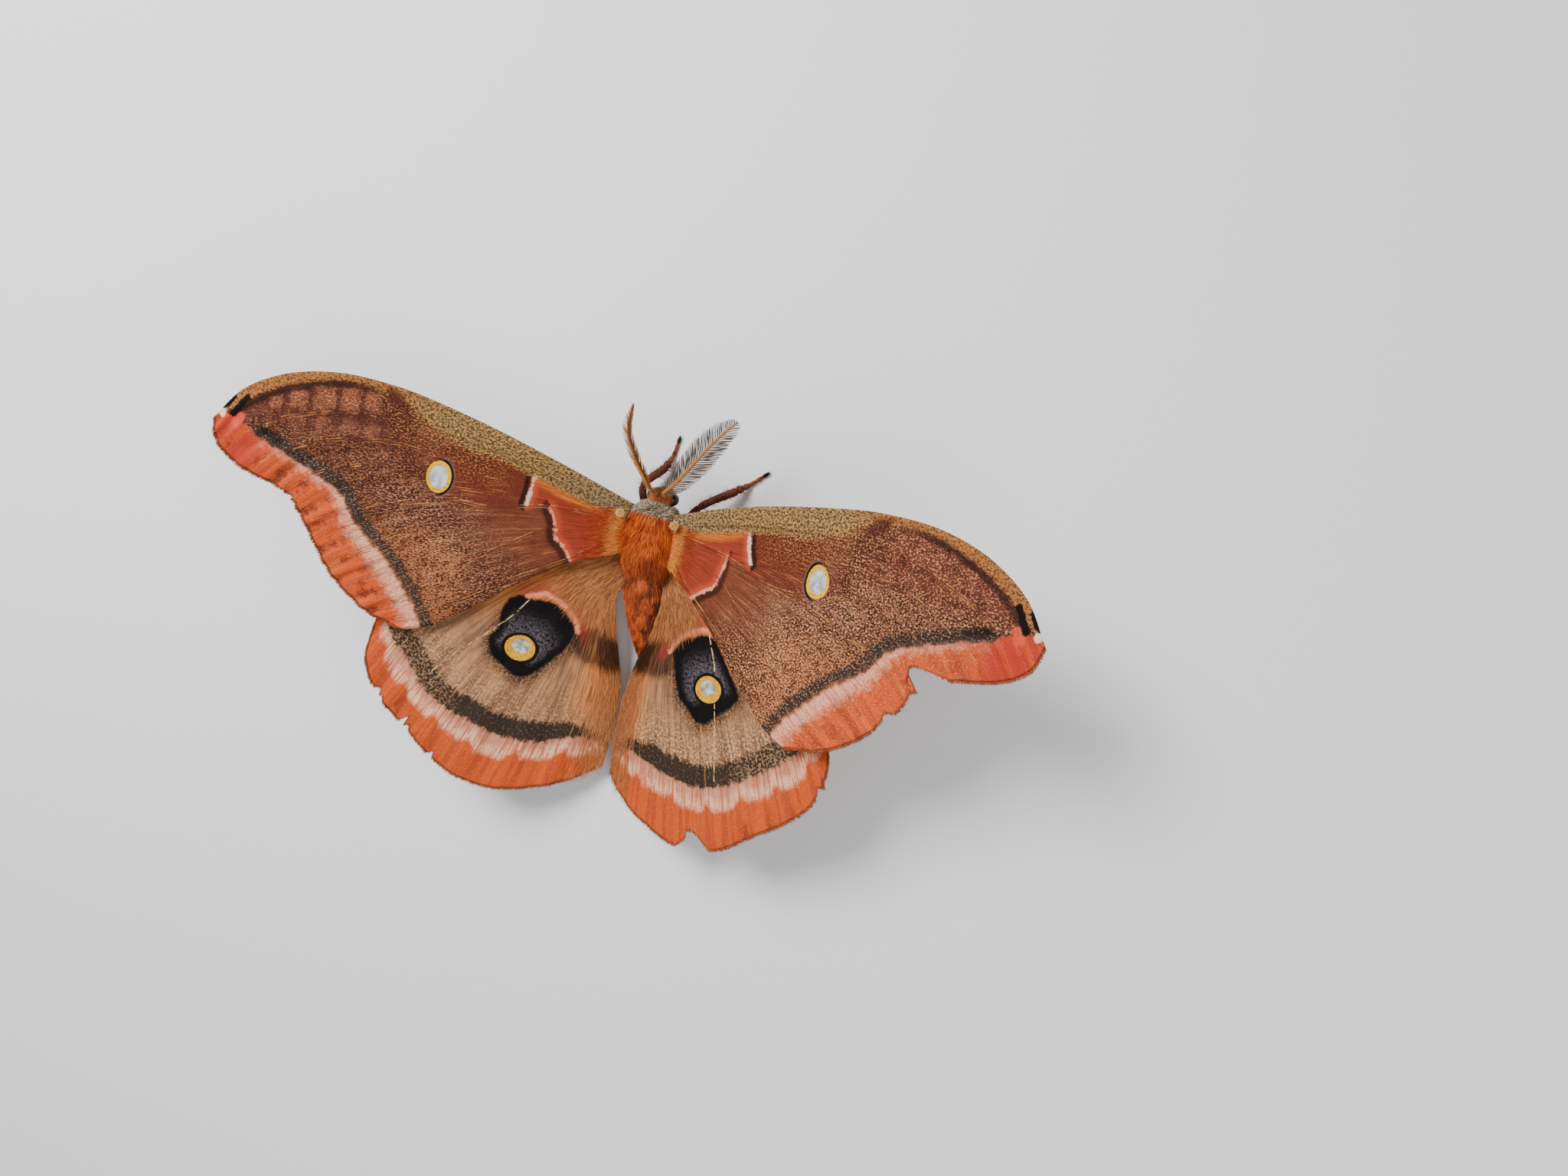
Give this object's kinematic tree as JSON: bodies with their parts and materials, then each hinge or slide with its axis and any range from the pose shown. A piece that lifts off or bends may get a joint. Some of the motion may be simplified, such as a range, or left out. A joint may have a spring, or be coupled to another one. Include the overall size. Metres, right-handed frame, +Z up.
{
  "type": "polyphemus moth",
  "caption": "Male polyphemus moth at life size, clinging with raised, spread wings that carry eyespots.",
  "frame": {"origin": "on the floor under the middle of the moth's box", "axes": "+X to the moth's right along the wingspan, +Y towards the head, +Z up from the floor"},
  "size_m": [0.1184, 0.0618, 0.0286],
  "materials": {
    "wing": "scales, dull, tan and brown with eyespots",
    "fur_red": "long soft brick-red hair",
    "fur_orange": "soft orange-brown hair",
    "eye": "dark, glossy, finely faceted",
    "antenna": "dull golden brown",
    "leg": "dark maroon, hairy"
  },
  "bodies": {
    "root": {"head": "fur_orange", "thorax": "fur_red", "abdomen": "fur_orange", "eye_left": "eye", "eye_right": "eye", "antenna_left": "antenna", "antenna_right": "antenna", "forewing_left": "wing", "forewing_right": "wing", "hindwing_left": "wing", "hindwing_right": "wing", "leg_front_left": "leg", "leg_front_right": "leg", "leg_mid_left": "leg", "leg_mid_right": "leg", "leg_hind_left": "leg", "leg_hind_right": "leg"}
  },
  "joints": []
}
